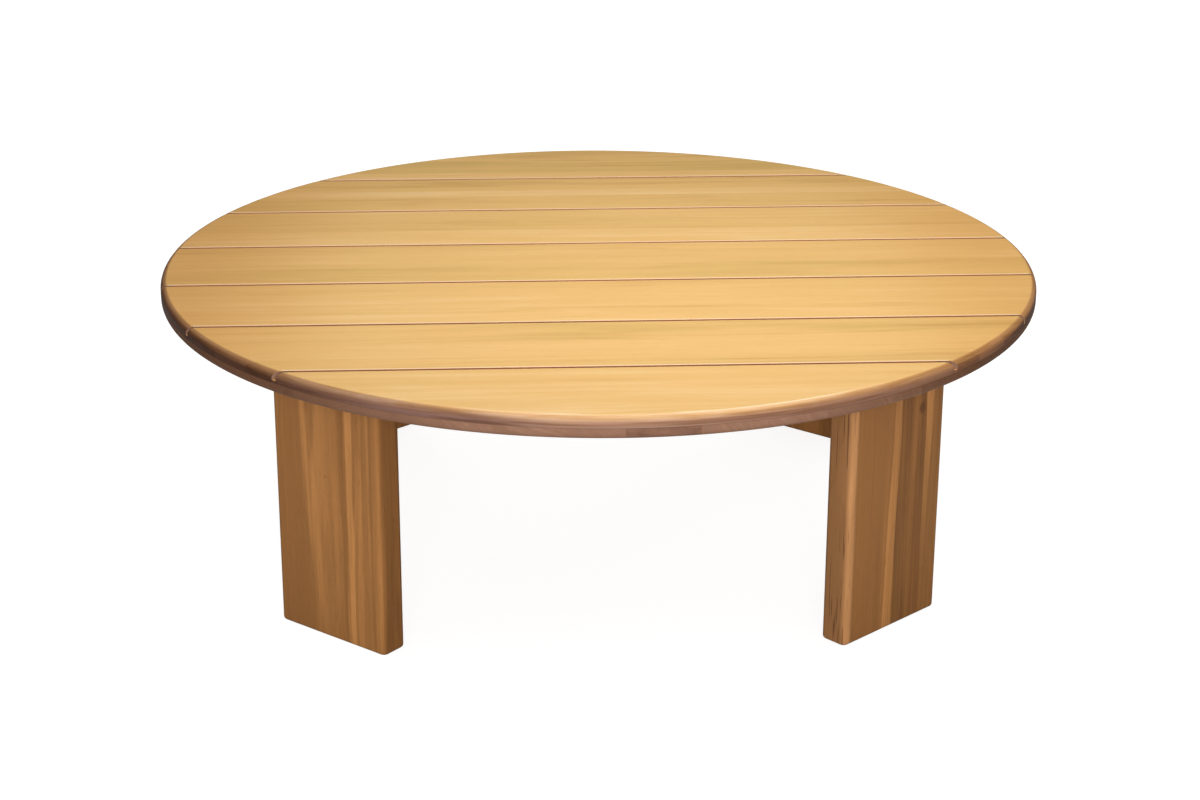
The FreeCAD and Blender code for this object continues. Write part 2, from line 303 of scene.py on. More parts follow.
# %% [markdown]
# Sawn wood is not one colour. Broad bands run along a stave, finer streaks lie in them, the growth
# rings draw soft lines, and short dark pores sit in the surface. A picture of wood would stop at the
# edges of a board, so the pattern is made in space instead: noise stretched along the grain, and
# rings as noise of the distance from a heart line below the stave. The same group serves every wooden
# part, each with its own colours.

# %% Sawn wood grain
heart_depth = 0.04
heart_wander = 0.05
rings_to_the_metre = 210.0
ring_stretch = 1.3
stave_shift = (3.1, 0.83, 0.47)


def wood_grain_group():
    shades = ("Light Wood", "Middle Wood", "Dark Wood", "Olive Wood")
    strengths = ("Tone", "Olive", "Shift", "Bands", "Clouds", "Streaks", "Rings", "Pores")
    group, given, out = new_group(
        "Sawn wood grain",
        [("Place", "vector")] + [(label, "colour") for label in shades]
        + [(label, "number") for label in strengths],
        [("Color", "colour"), ("Gloss", "number"), ("Height", "number")],
    )
    shift = node(group, "ShaderNodeVectorMath", operation="SCALE", inputs={
        0: stave_shift, "Scale": given["Shift"],
    }).outputs[0]
    place = vector_maths("ADD", given["Place"], shift)[0]

    def grain(along, across, detail, distortion=0.0):
        """Noise stretched along the grain, with its middle at zero."""
        stretched = vector_maths("MULTIPLY", place, (along, across, across))[0]
        return minus(noise(stretched, 1.0, detail, 0.55, distortion), 0.5)

    bands = grain(1.8, 14.0, 2.0, 0.6)
    clouds = grain(5.5, 34.0, 2.0, 1.2)
    streaks = grain(3.4, 90.0, 3.0, 0.4)
    fine = grain(12.0, 480.0, 2.0)
    pores = eased(grain(55.0, 1300.0, 1.0), 0.12, 0.22)
    parts = split(place)
    from_heart = vector_of(plus(parts["Y"], times(bands, heart_wander)), plus(parts["Z"], heart_depth))
    ring_distance = vector_maths("LENGTH", from_heart)["Value"]
    ring_place = vector_of(times(parts["X"], ring_stretch), times(ring_distance, rings_to_the_metre))
    rings = minus(noise(ring_place, noise_dimensions="2D"), 0.5)

    tone = given["Tone"]
    for pattern, strength in ((bands, "Bands"), (clouds, "Clouds"), (streaks, "Streaks"), (rings, "Rings")):
        tone = plus(tone, times(pattern, given[strength]))
    tone = plus(tone, times(fine, 0.12))
    darker = mixed(eased(tone, 0.0, 0.5), given["Dark Wood"], given["Middle Wood"])
    wood = mixed(eased(tone, 0.5, 1.0), darker, given["Light Wood"])
    olive_band = eased(plus(bands, times(rings, 0.6)), 0.25, -0.25)
    wood = mixed(times(olive_band, given["Olive"]), wood, given["Olive Wood"])
    feed(out, {
        "Color": mixed(times(pores, given["Pores"]), wood, given["Dark Wood"]),
        "Gloss": plus(times(streaks, 0.5), times(pores, 0.4), 0.5),
        "Height": minus(times(fine, 0.5), times(pores, 0.6)),
    })
    return group


wood_grain = wood_grain_group()
print("Wood grain group with", len(wood_grain.nodes), "nodes")

# %% [markdown]
# Each board is glued up from a few staves, and each stave is a little lighter, darker or greener than
# its neighbour. A colour ramp with hard steps serves as a card index: along the width of the top it
# gives the stave's tone in red, its olive cast in green, and in blue how far its grain is shifted, so
# that no streak runs across a glue line.

# %% Stave cards
def stave_cards(position, cards):
    """Tone, olive cast and grain shift at a position from 0 to 1. Cards are (start, tone, olive)."""
    ramp = node(tree_of(position), "ShaderNodeValToRGB", {"Fac": position})
    elements = ramp.color_ramp.elements
    ramp.color_ramp.interpolation = "CONSTANT"
    while len(elements) > 1:
        elements.remove(elements[-1])
    elements[0].position = cards[0][0]
    for index, (start, tone, olive) in enumerate(cards):
        card = elements.new(start) if index else elements[0]
        card.color = (tone, olive, (index * 0.381) % 1, 1)
    shares = node(ramp.id_data, "ShaderNodeSeparateColor", {0: ramp.outputs["Color"]}).outputs
    return shares["Red"], shares["Green"], shares["Blue"]


board_pitch = 0.143
top_height = 0.326
board_staves = (
    ((0.00, 0.64, 0.05), (0.55, 0.60, 0.10)),
    ((0.00, 0.46, 0.30), (0.22, 0.54, 0.05), (0.55, 0.46, 0.50)),
    ((0.00, 0.52, 0.20), (0.33, 0.60, 0.10), (0.70, 0.50, 0.20)),
    ((0.00, 0.50, 0.45), (0.45, 0.54, 0.20), (0.78, 0.50, 0.15)),
    ((0.00, 0.60, 0.00), (0.40, 0.50, 0.30), (0.72, 0.54, 0.20)),
    ((0.00, 0.46, 0.35), (0.42, 0.72, 0.00), (0.60, 0.42, 0.40)),
    ((0.00, 0.62, 0.05), (0.20, 0.44, 0.60), (0.60, 0.42, 0.45)),
)
top_cards = []
for index, staves in enumerate(board_staves):
    front = 0.5 + (index - 3.5) * board_pitch
    for start, tone, olive in staves:
        top_cards.append((max(0.0, front + start * board_pitch), tone, olive))
print(len(top_cards), "staves across the top")

# %% [markdown]
# Along the rim the left and right sides are painted darker and browner than the front. This is painted
# shade where the sides face away from the light, laid over the end grain of the boards, which drinks more
# finish. Both layers of the top show it, each from another bearing on, so it is one group that turns the
# direction of the surface into a share of darkness.

# %% Painted shade on the rim sides
def rim_shade_group():
    group, given, out = new_group(
        "Painted shade on the rim sides",
        [
            ("Facing", "vector"), ("Left Start", "number", 0.40), ("Left End", "number", 0.86),
            ("Right Start", "number", 0.78), ("Right End", "number", 0.94),
        ],
        [("Share", "number")],
    )
    across = split(given["Facing"])["X"]
    left = eased(times(across, -1.0), given["Left Start"], given["Left End"])
    right = eased(across, given["Right Start"], given["Right End"])
    feed(out, {"Share": maths("MAXIMUM", left, right)})
    return group


rim_shade = rim_shade_group()
print("Rim shade group with", len(rim_shade.nodes), "nodes")

# %% [markdown]
# A board shows three kinds of surface: its face, the rounded rim, and the walls of the reveals. They
# meet in one solid, so masks have to tell them apart. The distance from the middle finds the band along
# the edge, and the direction in which the surface faces tells a rim, which looks away from the
# middle, from a wall, which looks along the table.

# %% Materials and the parts of a board
def new_material(name):
    """A material with one Principled shader: its tree and that shader."""
    material = bpy.data.materials.new(name)
    material.use_nodes = True
    return material, material.node_tree, material.node_tree.nodes["Principled BSDF"]


def wear(node_names, material):
    """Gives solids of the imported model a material."""
    for name in node_names:
        slots = nodes[name].data.materials
        slots.clear()
        slots.append(material)


def wear_at_corners(make_material, *pieces):
    """Makes a material for each corner and gives it to the named pieces there."""
    made = {corner: make_material(corner) for corner in corners}
    for corner, material in made.items():
        wear([corner + "_" + piece for piece in pieces], material)
    return made


def finish_wood(shader, wood, base, roughness, bump):
    """Gives a shader a base colour and the grain's gloss and height."""
    feed(shader, {
        "Base Color": base, "Roughness": eased(wood["Gloss"], 0.2, 0.9, *roughness),
        "Normal": bumped(wood["Height"], bump, 0.0004),
    })


def board_parts(tree):
    """Where a point of a board lies, which way it faces, and how far it belongs to each part."""
    texture = node(tree, "ShaderNodeTexCoord").outputs
    spot = split(texture["Object"])
    facing = split(texture["Normal"])
    flat_spot = vector_of(spot["X"], spot["Y"])
    radius = vector_maths("LENGTH", flat_spot)["Value"]
    outwards = vector_maths("NORMALIZE", flat_spot)[0]
    faces_out = maths("ABSOLUTE", vector_maths("DOT_PRODUCT", outwards, texture["Normal"])["Value"])
    edge = eased(radius, 0.4915, 0.4925)
    inside = minus(1.0, edge)
    rim = times(eased(facing["Z"], 0.80, 0.05), edge, eased(plus(faces_out, facing["Z"]), 0.90, 0.97))
    wall = eased(plus(faces_out, maths("ABSOLUTE", facing["Z"])), 0.99, 0.90)
    steep = times(eased(facing["Z"], 0.90, 0.60), inside)
    return SimpleNamespace(
        x=spot["X"], y=spot["Y"], z=spot["Z"], normal=texture["Normal"], facing_x=facing["X"],
        facing_z=facing["Z"], radius=radius, edge=edge, inside=inside, rim=rim,
        upper_lip=times(eased(facing["Z"], 0.998, 0.85), edge),
        leftwards=eased(facing["X"], -0.10, -0.30), rightwards=eased(facing["X"], 0.08, 0.45),
        reveal=maths("MAXIMUM", times(wall, edge), steep),
    )


print("Board parts are told apart by place and direction")

# %% [markdown]
# The faces are honey-coloured and satin-varnished. At the two ends of the table they are painted a little
# darker and browner, as painted shade, and just behind each reveal a thin paler line is a painted highlight
# on the rounded edge. At the rim the staves differ more, because end grain and long grain take the finish
# differently.

# %% Faces of the boards
stave_tone = 0.53
rim_contrast = 3.0


def board_faces(tree, at):
    """The grain group's outputs, the base colour of the faces, and noise along the rim."""
    tone, olive, shift = stave_cards(plus(at.y, 0.5), top_cards)
    contrast = plus(times(at.rim, rim_contrast), 1.0)
    tone = plus(times(minus(tone, stave_tone), contrast), stave_tone)
    place = vector_of(at.x, at.y, times(minus(at.z, top_height), 4.0))
    wood = use_group(tree, wood_grain, {
        "Place": place, "Tone": tone, "Olive": olive, "Shift": shift,
        "Light Wood": (0.86, 0.575, 0.265), "Middle Wood": (0.78, 0.475, 0.168),
        "Dark Wood": (0.48, 0.22, 0.055), "Olive Wood": (0.60, 0.40, 0.12),
        "Bands": 0.35, "Clouds": 0.35, "Streaks": 0.45, "Rings": 0.45, "Pores": 0.22,
    })
    # Painted shade: the two ends of the top are darker and browner, where less light falls on them.
    base = multiplied(wood["Color"], eased(at.x, -0.24, -0.48), 0.87, 0.77, 0.66)
    base = multiplied(base, eased(at.x, 0.26, 0.48), 0.93, 0.85, 0.74)
    # Painted highlight: a thin paler line just behind each reveal, where the rounded front edge of the
    # board catches the light.
    past_reveal = maths("FRACT", maths("DIVIDE", plus(at.y, board_pitch / 2), board_pitch))
    painted_arris_highlight = times(eased(past_reveal, 0.036, 0.026, 0.0, 0.7), at.inside)
    base = painted(base, painted_arris_highlight, 0.90, 0.68, 0.42)
    along_rim = vector_maths("MULTIPLY", place, (7.0, 7.0, 60.0))[0]
    return wood, base, noise(along_rim, distortion=0.8)


print("Faces ready, with", rim_contrast + 1, "times the contrast at the rim")

# %% [markdown]
# The rounded rim is a duller pinkish brown, painted darker towards its lower edge as painted shade. Its
# upper lip fades into the face with uneven tints, short dark streaks run along it, the left and right sides
# are painted darker as painted shade, and at the front a thin pale crest is a painted highlight.

# %% Rim of the boards
def board_rim(tree, at, base, rim_noise):
    """The base colour with the tints of the rim."""
    tint = mixed(eased(rim_noise, 0.42, 0.58), (0.98, 0.94, 1.20), (0.84, 0.74, 0.80))
    base = mixed(at.upper_lip, base, tint, "MULTIPLY")
    # Painted shade: the rim is tinted duller, and darker towards its lower edge below the rounded lip.
    tint = mixed(eased(at.z, 0.3135, 0.3235), (0.60, 0.53, 0.64), (0.88, 0.78, 0.86))
    base = mixed(at.rim, base, tint, "MULTIPLY")
    dark_streaks = times(eased(rim_noise, 0.52, 0.64, 0.0, 0.5), at.rim)
    base = multiplied(base, dark_streaks, 0.66, 0.60, 0.66)
    # Painted shade: the rim and its lip are darker where they face left or right, away from the light.
    left_painted_shade = times(at.leftwards, at.edge, eased(at.facing_z, 0.999, 0.985))
    base = multiplied(base, left_painted_shade, 0.60, 0.56, 0.62)
    right_painted_shade = times(at.rightwards, at.edge, eased(at.facing_z, 0.99, 0.88))
    base = multiplied(base, right_painted_shade, 0.70, 0.62, 0.56)
    # Painted highlight: a thin pale crest on the rounded lip at the front of the top.
    front = times(eased(at.x, -0.20, -0.05), eased(at.x, 0.32, 0.15), eased(at.y, -0.40, -0.46))
    painted_crest_highlight = times(
        eased(at.facing_z, 0.999, 0.990), eased(at.facing_z, 0.93, 0.97), at.edge,
        eased(rim_noise, 0.56, 0.44, 0.0, 0.6), front,
    )
    base = painted(base, painted_crest_highlight, 0.95, 0.80, 0.60)
    # Painted shade on the left and right of the rim, deepening the darker end grain of the boards.
    painted_side_shade = use_group(tree, rim_shade, {"Facing": at.normal})["Share"]
    painted_side_shade_share = times(painted_side_shade, maths("MAXIMUM", at.rim, times(at.leftwards, at.upper_lip)))
    return multiplied(base, painted_side_shade_share, 0.45, 0.38, 0.30)


print("Rim tints ready")

# %% [markdown]
# The walls of the reveals are dark, because the finish gathers there. The tongue that floors a reveal
# is darker still, but its end at the rim is bare and bright. Neither has the varnish's clear coat.

# %% Material of the boards
def board_material():
    material, tree, shader = new_material("honey_board_wood")
    at = board_parts(tree)
    wood, base, rim_noise = board_faces(tree, at)
    base = board_rim(tree, at, base, rim_noise)
    near_rim = eased(at.radius, 0.482, 0.490)
    wall_colour = mixed(near_rim, (0.50, 0.20, 0.11), (0.36, 0.20, 0.13))
    tongue_colour = mixed(near_rim, (0.42, 0.14, 0.07), (0.95, 0.50, 0.14))
    tongue = times(eased(at.z, 0.3172, 0.3166), eased(at.facing_z, 0.5, 0.9))
    base = mixed(at.reveal, base, wall_colour)
    base = mixed(tongue, base, tongue_colour)
    finish_wood(shader, wood, base, (0.38, 0.55), 0.25)
    sheen = eased(maths("MAXIMUM", at.upper_lip, at.reveal), 0.0, 1.0, 0.25, 0.04)
    feed(shader, {"Coat Weight": sheen, "Coat Roughness": 0.3, "Specular IOR Level": 0.25})
    return material


honey_wood = board_material()
print("Board wood has", len(honey_wood.node_tree.nodes), "nodes")

# %% [markdown]
# The seven boards are cut from one turned disc, whose upper edge is well rounded. Between two boards
# runs an open reveal of four millimetres. Its floor is a low tongue of the board in front, so that no
# crumb can fall through, and at the rim the end of that tongue shows as a small bright dot.

# %% Seven boards
top_radius = 0.5
board_underside = 0.3135
rim_round = 0.008
reveal_width = 0.004
reveal_arris = 0.0012
tongue_top = 0.3165
tongue_root = 0.001
board_profile = [(top_radius, board_underside)] + quarter_round(
    top_radius - rim_round, top_height - rim_round, rim_round, 0, 90,
)
whole_top = turned_disc(board_profile)
for index in range(7):
    name = "board_" + str(index + 1)
    shape = whole_top.copy()
    middle = (index - 3) * board_pitch
    for way in (-1, 1):
        if index == (0 if way < 0 else 6):
            continue
        wall = middle + way * (board_pitch - reveal_width) / 2
        cut_off(shape, (0, wall, 0), (0, way, 0))
        for tilt in (22.5, 45.0, 67.5):
            outwards = Vector((0, way * cos(radians(tilt)), sin(radians(tilt))))
            heart = Vector((0, wall - way * reveal_arris, top_height - reveal_arris))
            cut_off(shape, heart + outwards * reveal_arris, outwards)
    if index < 6:
        tongue = whole_top.copy()
        front = middle + (board_pitch - reveal_width) / 2
        cut_off(tongue, (0, front - tongue_root, 0), (0, -1, 0))
        cut_off(tongue, (0, front + reveal_width, 0), (0, 1, 0))
        cut_off(tongue, (0, 0, tongue_top), (0, 0, 1))
        tongue_mesh = bpy.data.meshes.new("tongue")
        tongue.to_mesh(tongue_mesh)
        tongue.free()
        shape.from_mesh(tongue_mesh)
    piece = soft_piece("smooth_" + name, shape, honey_wood, 32)
    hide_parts(name)
    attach(piece, "top")
whole_top.free()
print("Seven boards, reveals", reveal_width * 1000, "mm wide")

# %% [markdown]
# The backing panel is made of staves that run the other way, from front to back, so that the two
# layers keep each other flat. That is why upright joints show on the lower half of the rim.

# %% Material of the backing panel
panel_joints = (
    (0.000, 0.50), (0.040, 0.42), (0.105, 0.34), (0.170, 0.58), (0.238, 0.50), (0.305, 0.56),
    (0.370, 0.64), (0.439, 0.54), (0.500, 0.28), (0.573, 0.66), (0.638, 0.56), (0.700, 0.50),
    (0.755, 0.62), (0.808, 0.44), (0.870, 0.40), (0.930, 0.54),
)
panel_olive = 0.25
panel_cards = [(start, tone, panel_olive) for start, tone in panel_joints]
panel_underside = 0.301
lower_round = 0.008


def panel_material():
    material, tree, shader = new_material("cross_laid_panel_wood")
    texture = node(tree, "ShaderNodeTexCoord").outputs
    spot = split(texture["Object"])
    facing_z = split(texture["Normal"])["Z"]
    tone, olive, shift = stave_cards(plus(spot["X"], 0.5), panel_cards)
    wood = use_group(tree, wood_grain, {
        "Place": vector_of(spot["Y"], spot["X"], spot["Z"]), "Tone": tone, "Olive": olive, "Shift": shift,
        "Light Wood": (0.58, 0.32, 0.20), "Middle Wood": (0.43, 0.22, 0.14),
        "Dark Wood": (0.22, 0.10, 0.065), "Olive Wood": (0.30, 0.16, 0.09),
        "Bands": 0.30, "Clouds": 0.30, "Streaks": 0.20, "Rings": 0.30, "Pores": 0.20,
    })
    base = painted(wood["Color"], eased(facing_z, 0.3, 0.8), 0.85, 0.42, 0.12)
    from_glue = maths("ABSOLUTE", minus(spot["Z"], board_underside))
    base = painted(base, eased(from_glue, 0.0009, 0.0002, 0.0, 0.4), 0.10, 0.045, 0.02)
    # Painted shade on the left and right of the panel's rim.
    painted_side_shade = use_group(tree, rim_shade, {
        "Facing": texture["Normal"], "Left Start": 0.16, "Left End": 0.96,
        "Right Start": 0.28, "Right End": 0.80,
    })["Share"]
    upright = eased(maths("ABSOLUTE", facing_z), 0.95, 0.6)
    base = multiplied(base, times(painted_side_shade, upright), 0.45, 0.36, 0.24)
    finish_wood(shader, wood, base, (0.42, 0.6), 0.3)
    shader.inputs["Specular IOR Level"].default_value = 0.2
    return material


panel_profile = quarter_round(
    top_radius - lower_round, panel_underside + lower_round, lower_round, -90, 0,
) + [(top_radius, board_underside)]
piece = soft_piece("smooth_backing_panel", turned_disc(panel_profile), panel_material(), 60)
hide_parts("backing_panel")
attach(piece, "top")
print("Backing panel of", len(panel_cards), "staves")

# %% [markdown]
# A leg is a slab of upright staves, some nearly as dark as walnut and some with a light stripe of
# sapwood that slants, tapers or fades on its way down. The joints come from the stave cards. A streak is
# given by its two edges at the head of the leg and at its foot, as shares of the width, then by its
# strength at the head and at the foot and by the softness of its edges.

# %% Staves, streaks and knots of the legs
leg_cards = {
    "front_left": ((0.00, 0.50, 0.15), (0.665, 0.70, 0.05)),
    "front_right": ((0.00, 0.49, 0.10), (0.235, 0.47, 0.15), (0.51, 0.46, 0.50), (0.80, 0.42, 0.20)),
    # The back legs' staves, the back right ones most, are set lighter than the front ones: painted light
    # that lifts them in the shade under the top.
    "back_left": ((0.00, 0.66, 0.10), (0.34, 0.56, 0.20), (0.70, 0.66, 0.10)),
    "back_right": ((0.00, 0.74, 0.10), (0.28, 0.86, 0.00), (0.60, 0.74, 0.10)),
}
leg_streaks = {
    "front_left": (
        (-0.20, 0.27, -0.20, 0.32, 0.02, -0.02, 0.04), (0.255, 0.305, 0.33, 0.375, 0.30, 0.00, 0.02),
        (0.31, 0.61, 0.36, 0.64, 0.28, 0.20, 0.12), (0.62, 0.68, 0.65, 0.69, -0.18, -0.12, 0.018),
        (0.685, 0.75, 0.70, 0.745, 0.26, 0.20, 0.006), (0.755, 0.78, 0.75, 0.775, -0.06, -0.04, 0.015),
        (0.84, 0.86, 0.83, 0.85, -0.08, -0.06, 0.015), (0.88, 0.90, 0.88, 0.90, 0.08, 0.05, 0.01),
        # The last streak of the front left leg lies on its right side face and is painted shade.
        (0.91, 0.925, 0.91, 0.925, -0.14, -0.08, 0.008), (0.99, 1.20, 0.99, 1.20, -0.42, -0.42, 0.008),
    ),
    "front_right": (
        # The first light streak of the front right leg is a painted highlight along its rounded left edge.
        (0.004, 0.065, 0.004, 0.065, 0.26, 0.22, 0.014), (0.23, 0.24, 0.23, 0.24, -0.16, -0.16, 0.004),
        (0.455, 0.525, 0.40, 0.495, 0.30, 0.28, 0.005), (0.525, 0.79, 0.495, 0.80, -0.28, -0.20, 0.006),
        (0.79, 0.875, 0.81, 0.825, 0.48, 0.10, 0.006), (0.66, 0.70, 0.64, 0.68, 0.06, 0.08, 0.02),
        (0.92, 0.95, 0.93, 0.96, -0.10, -0.10, 0.01),
    ),
    "back_left": (
        (0.14, 0.20, 0.16, 0.19, 0.28, 0.10, 0.01), (0.40, 0.52, 0.44, 0.50, -0.16, -0.10, 0.02),
        (0.84, 0.88, 0.80, 0.86, 0.26, 0.14, 0.01),
    ),
    "back_right": (
        (0.10, 0.16, 0.12, 0.15, -0.14, -0.10, 0.02), (0.42, 0.50, 0.38, 0.47, 0.24, 0.18, 0.008),
        (0.78, 0.90, 0.80, 0.86, -0.16, -0.08, 0.02),
    ),
}
leg_knots = {
    "front_left": (0.49, 0.188, 0.0011, 0.0016), "front_right": (0.745, 0.246, 0.0050, 0.0062),
    "back_left": (0.62, 0.160, 0.0040, 0.007), "back_right": (0.33, 0.110, 0.0045, 0.008),
}
streak_measures = (
    "Head Start", "Head End", "Foot Start", "Foot End", "Head Strength", "Foot Strength", "Softness",
)


def streak_group():
    """The tone of a streak whose two edges run straight from the head of a leg to its foot."""
    group, given, out = new_group(
        "Slanting streak",
        [(label, "number") for label in ("Across", "Down") + streak_measures],
        [("Tone", "number")],
    )

    def on_the_way(head, foot):
        return maths("MULTIPLY_ADD", minus(given[foot], given[head]), given["Down"], given[head])

    softness = given["Softness"]
    outside = times(softness, -1.0)
    past = minus(given["Across"], on_the_way("Head Start", "Foot Start"))
    short = minus(on_the_way("Head End", "Foot End"), given["Across"])
    inside = times(eased(past, outside, softness), eased(short, outside, softness))
    feed(out, {"Tone": times(inside, on_the_way("Head Strength", "Foot Strength"))})
    return group


slanting_streak = streak_group()
print("Streak group for", sum(len(streaks) for streaks in leg_streaks.values()), "streaks")

# %% [markdown]
# Each leg stands at its own bearing, so a Mapping node turns the pattern into the leg's own frame:
# thickness, width and height. The colour is painted a shade darker towards the floor, as painted shade. The
# front right leg has a painted highlight along its rounded left edge, with short dark cracks along it.

# %% Materials of the legs
leg_side_offset = 0.2925
leg_width = 0.153
leg_length = 0.285
leg_bearings = {"front_left": 229.2, "front_right": 310.8, "back_left": 130.8, "back_right": 49.2}


def leg_standpoint(corner):
    """The place of a leg's own frame on the floor."""
    side_x = 1 if corner.endswith("right") else -1
    side_y = 1 if corner.startswith("back") else -1
    return (side_x * leg_side_offset, side_y * leg_side_offset, 0)


def leg_place(tree, corner):
    """The spot in the leg's own frame: X outwards, Y across its width, Z up."""
    return node(tree, "ShaderNodeMapping", vector_type="TEXTURE", inputs={
        "Vector": node(tree, "ShaderNodeTexCoord").outputs["Object"],
        "Location": leg_standpoint(corner), "Rotation": (0, 0, radians(leg_bearings[corner])),
    }).outputs[0]


def leg_tone(tree, corner, spot, across, down):
    """Tone, olive cast and grain shift of a leg, with its streaks and its knot."""
    wander = node(tree, "ShaderNodeTexNoise", noise_dimensions="1D", inputs={
        "W": plus(spot["Z"], 0.4 * corners.index(corner)), "Scale": 9.0, "Detail": 1.0,
    }).outputs[0]
    wavy = plus(across, times(minus(wander, 0.5), 0.03))
    tone, olive, shift = stave_cards(wavy, leg_cards[corner])
    for streak in leg_streaks[corner]:
        at_an_edge = streak[0] < 0.01 or streak[0] > 0.96
        measures = dict(zip(streak_measures, streak), Across=across if at_an_edge else wavy, Down=down)
        tone = plus(tone, use_group(tree, slanting_streak, measures)["Tone"])
    knot_across, knot_height, knot_width, knot_length = leg_knots[corner]
    from_knot = vector_of(
        maths("DIVIDE", minus(spot["Y"], (knot_across - 0.5) * leg_width), knot_width),
        maths("DIVIDE", minus(spot["Z"], knot_height), knot_length),
    )
    knot = eased(vector_maths("LENGTH", from_knot)["Value"], 1.4, 0.3, 0.0, 0.32)
    return minus(tone, knot), olive, shift


def highlit_edge_and_cracks(base, spot, across):
    """A painted highlight along the rounded left edge, with short dark cracks."""
    # Painted highlight: a pale, less saturated band along the rounded left edge.
    edge_highlight = eased(across, 0.085, 0.045)
    crack_place = vector_of(times(spot["Z"], 14.0), times(spot["Y"], 420.0), times(spot["X"], 420.0))
    cracks = times(eased(noise(crack_place, detail=1.0), 0.62, 0.70, 0.0, 0.75), edge_highlight)
    return painted(multiplied(base, edge_highlight, 1.08, 1.16, 1.45), cracks, 0.16, 0.07, 0.03)


def leg_material(corner):
    material, tree, shader = new_material(corner + "_leg_wood")
    spot = split(leg_place(tree, corner))
    across = plus(maths("DIVIDE", spot["Y"], leg_width), 0.5)
    down = minus(1.0, maths("DIVIDE", spot["Z"], leg_length))
    tone, olive, shift = leg_tone(tree, corner, spot, across, down)
    wood = use_group(tree, wood_grain, {
        "Place": vector_of(spot["Z"], spot["Y"], spot["X"]), "Tone": tone, "Olive": olive, "Shift": shift,
        "Light Wood": (0.80, 0.355, 0.112), "Middle Wood": (0.45, 0.193, 0.058),
        "Dark Wood": (0.20, 0.080, 0.024), "Olive Wood": (0.28, 0.145, 0.042),
        "Bands": 0.24, "Clouds": 0.30, "Streaks": 0.32, "Rings": 0.30, "Pores": 0.3,
    })
    # Painted shade: each leg is darker towards the floor.
    base = multiplied(wood["Color"], eased(down, 0.2, 1.0, 0.0, 0.5), 0.86, 0.86, 0.84)
    if corner == "front_right":
        base = highlit_edge_and_cracks(base, spot, across)
    finish_wood(shader, wood, base, (0.4, 0.6), 0.3)
    feed(shader, {"Specular IOR Level": 0.2, "Coat Weight": 0.05, "Coat Roughness": 0.35})
    return material


wear_at_corners(leg_material, "leg")
print("Legs finished, bearings", leg_bearings)

# %% [markdown]
# The battens are screwed under the panel from front to back. They are of the same wood as the legs but
# cut from one plank each, so they have no stave joints.

# %% Material of the battens
def batten_material():
    material, tree, shader = new_material("batten_plank_wood")
    spot = split(node(tree, "ShaderNodeTexCoord").outputs["Object"])
    wood = use_group(tree, wood_grain, {
        "Place": vector_of(spot["Y"], spot["X"], spot["Z"]), "Tone": 0.52, "Olive": 0.25,
        "Shift": maths("GREATER_THAN", spot["X"], 0.0),
        "Light Wood": (0.60, 0.34, 0.14), "Middle Wood": (0.46, 0.24, 0.09),
        "Dark Wood": (0.22, 0.10, 0.04), "Olive Wood": (0.30, 0.17, 0.07),
        "Bands": 0.40, "Clouds": 0.20, "Streaks": 0.40, "Rings": 0.45, "Pores": 0.3,
    })
    finish_wood(shader, wood, wood["Color"], (0.45, 0.65), 0.35)
    return material


wear(["left_batten", "right_batten"], batten_material())
print("Battens finished")

# %% [markdown]
# Under the top sits the folding hardware. Metal parts that are handled and rubbed share three things:
# cloudy patches where the polish has dulled, fine scratches that all run one way, and a skin that is
# never quite level. One group makes them, and each metal mixes them to its own taste.

# %% Handled metal
def handled_metal_group():
    group, given, out = new_group(
        "Handled metal",
        [("Place", "vector"), ("Patch Size", "number"), ("Skin Size", "number")],
        [("Patches", "number"), ("Scratches", "number"), ("Height", "number")],
    )
    patches = noise(given["Place"], given["Patch Size"], 3.0, 0.6)
    drawn_out = vector_maths("MULTIPLY", given["Place"], (60.0, 2600.0, 2600.0))[0]
    feed(out, {
        "Patches": eased(patches, 0.35, 0.7), "Scratches": eased(noise(drawn_out), 0.55, 0.72),
        "Height": noise(given["Place"], given["Skin Size"], 1.0),
    })
    return group


handled_metal = handled_metal_group()


def new_metal(name, patch_size, skin_size, corner=None):
    """A material, its shader and the handled metal's outputs, in a leg's own frame if one is named."""
    material, tree, shader = new_material(name)
    place = leg_place(tree, corner) if corner else node(tree, "ShaderNodeTexCoord").outputs["Object"]
    return material, shader, use_group(tree, handled_metal, {
        "Place": place, "Patch Size": patch_size, "Skin Size": skin_size,
    })


def dulled(metal, bright, dull):
    """A roughness that runs from bright to dull with the patches."""
    return eased(metal["Patches"], 0.0, 1.0, bright, dull)


print("Handled metal group with", len(handled_metal.nodes), "nodes")

# %% [markdown]
# The brackets are folded and welded plate under a black powder coat: a matt skin with a faint orange
# peel. Where the coat is thin it has been rubbed and lets some steel through.

# %% Black powder coat
def bracket_material(corner):
    material, shader, metal = new_metal(corner + "_black_powder_coat", 70.0, 1400.0, corner)
    bare = eased(times(metal["Patches"], metal["Scratches"]), 0.35, 0.75, 0.0, 0.55)
    feed(shader, {
        "Base Color": mixed(bare, (0.022, 0.022, 0.024), (0.30, 0.29, 0.28)),
        "Metallic": bare, "Roughness": dulled(metal, 0.62, 0.46),
        "Normal": bumped(metal["Height"], 0.35, 0.0003),
    })
    return material


bracket_coats = wear_at_corners(bracket_material, "base_bracket", "leg_bracket")
print("Brackets coated")

# %% [markdown]
# The hinge pins are turned from bar and zinc-plated. Their heads keep the fine rings of the lathe tool,
# so the material measures the distance from the pin's own axis and draws the rings from it.

# %% Turned zinc of the pins
pivot_inwards = -0.027
pivot_height = 0.283
tool_marks = 16000.0


